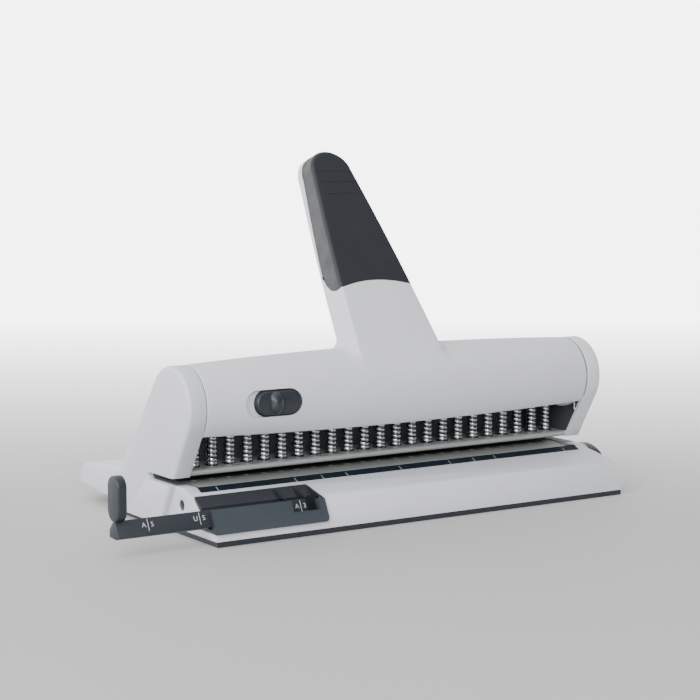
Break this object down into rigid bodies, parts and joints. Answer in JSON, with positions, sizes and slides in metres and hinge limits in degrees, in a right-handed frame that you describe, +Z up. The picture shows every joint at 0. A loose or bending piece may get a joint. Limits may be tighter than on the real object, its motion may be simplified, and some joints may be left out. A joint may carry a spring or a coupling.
{
  "type": "multi-hole punch",
  "caption": "Desk punch with a long row of sprung punches, a lever on a turning drum, a sliding paper stop and a chip tray.",
  "frame": {"origin": "on the desk, straight below the middle punch of the row", "axes": "+X along the row of punches towards the chip tray's end, +Y from the front to the rear, +Z up"},
  "size_m": [0.3647, 0.1813, 0.2198],
  "materials": {
    "light_plastic": "fine moulded grain",
    "dark_plastic": "satin moulded",
    "grip_rubber": "soft matte",
    "foot_rubber": "matte",
    "gloss_dark": "glossy moulded",
    "scale_print": "printed strip",
    "steel": "brushed",
    "black_steel": "matte black",
    "chrome": "bright",
    "bronze": "sintered"
  },
  "bodies": {
    "base": {"base_plate": "dark_plastic", "foot_pads": "foot_rubber", "base_screws": "chrome", "front_apron": "light_plastic", "scale_strip": "scale_print", "left_cheek": "light_plastic", "right_cheek": "light_plastic", "rear_cover": "light_plastic", "rear_shelf": "light_plastic", "support_beam": "dark_plastic", "die_plate": "steel", "paper_backstop": "steel", "punch_guide": "steel", "back_plate": "black_steel", "guide_posts": "steel", "left_bush": "bronze", "right_bush": "bronze", "punch_springs": "chrome", "stop_housing": "dark_plastic", "ruler_spring": "steel"},
    "lever": {"axle": "steel", "press_cams": "steel", "lever_drum": "light_plastic", "drum_skirt": "light_plastic", "lever_grip": "grip_rubber", "return_spring": "chrome", "lock_guide": "light_plastic"},
    "lock": {"lock_slider": "dark_plastic", "lock_bolt": "steel"},
    "press": {"pressure_bar": "steel", "punch_pins": "chrome"},
    "stop": {"stop_ruler": "dark_plastic", "stop_paddle": "dark_plastic"},
    "tray": {"chip_tray": "dark_plastic", "tray_cap": "gloss_dark"}
  },
  "joints": [
    {"name": "lever_swing", "type": "hinge", "parent": "base", "child": "lever", "pos_m": [0, -0.0085, 0.074], "axis": [1, 0, 0], "range_deg": [0, 50], "stiffness_Nm_per_rad": 0.8, "springref_deg": -17.19},
    {"name": "press_slide", "type": "slide", "parent": "base", "child": "press", "axis": [0, 0, -1], "range_m": [0, 0.0056], "stiffness_N_per_m": 3000, "springref_m": -0.003, "deforming": ["punch_springs"]},
    {"name": "lock_slide", "type": "slide", "parent": "lever", "child": "lock", "axis": [-1, 0, 0], "range_m": [0, 0.006]},
    {"name": "stop_slide", "type": "slide", "parent": "base", "child": "stop", "axis": [1, 0, 0], "range_m": [0, 0.0997]},
    {"name": "tray_slide", "type": "slide", "parent": "base", "child": "tray", "axis": [1, 0, 0], "range_m": [0, 0.2]}
  ],
  "couplings": [
    {"joint": "press_slide", "follows": "lever_swing", "m_per_rad": 0.0063025}
  ]
}
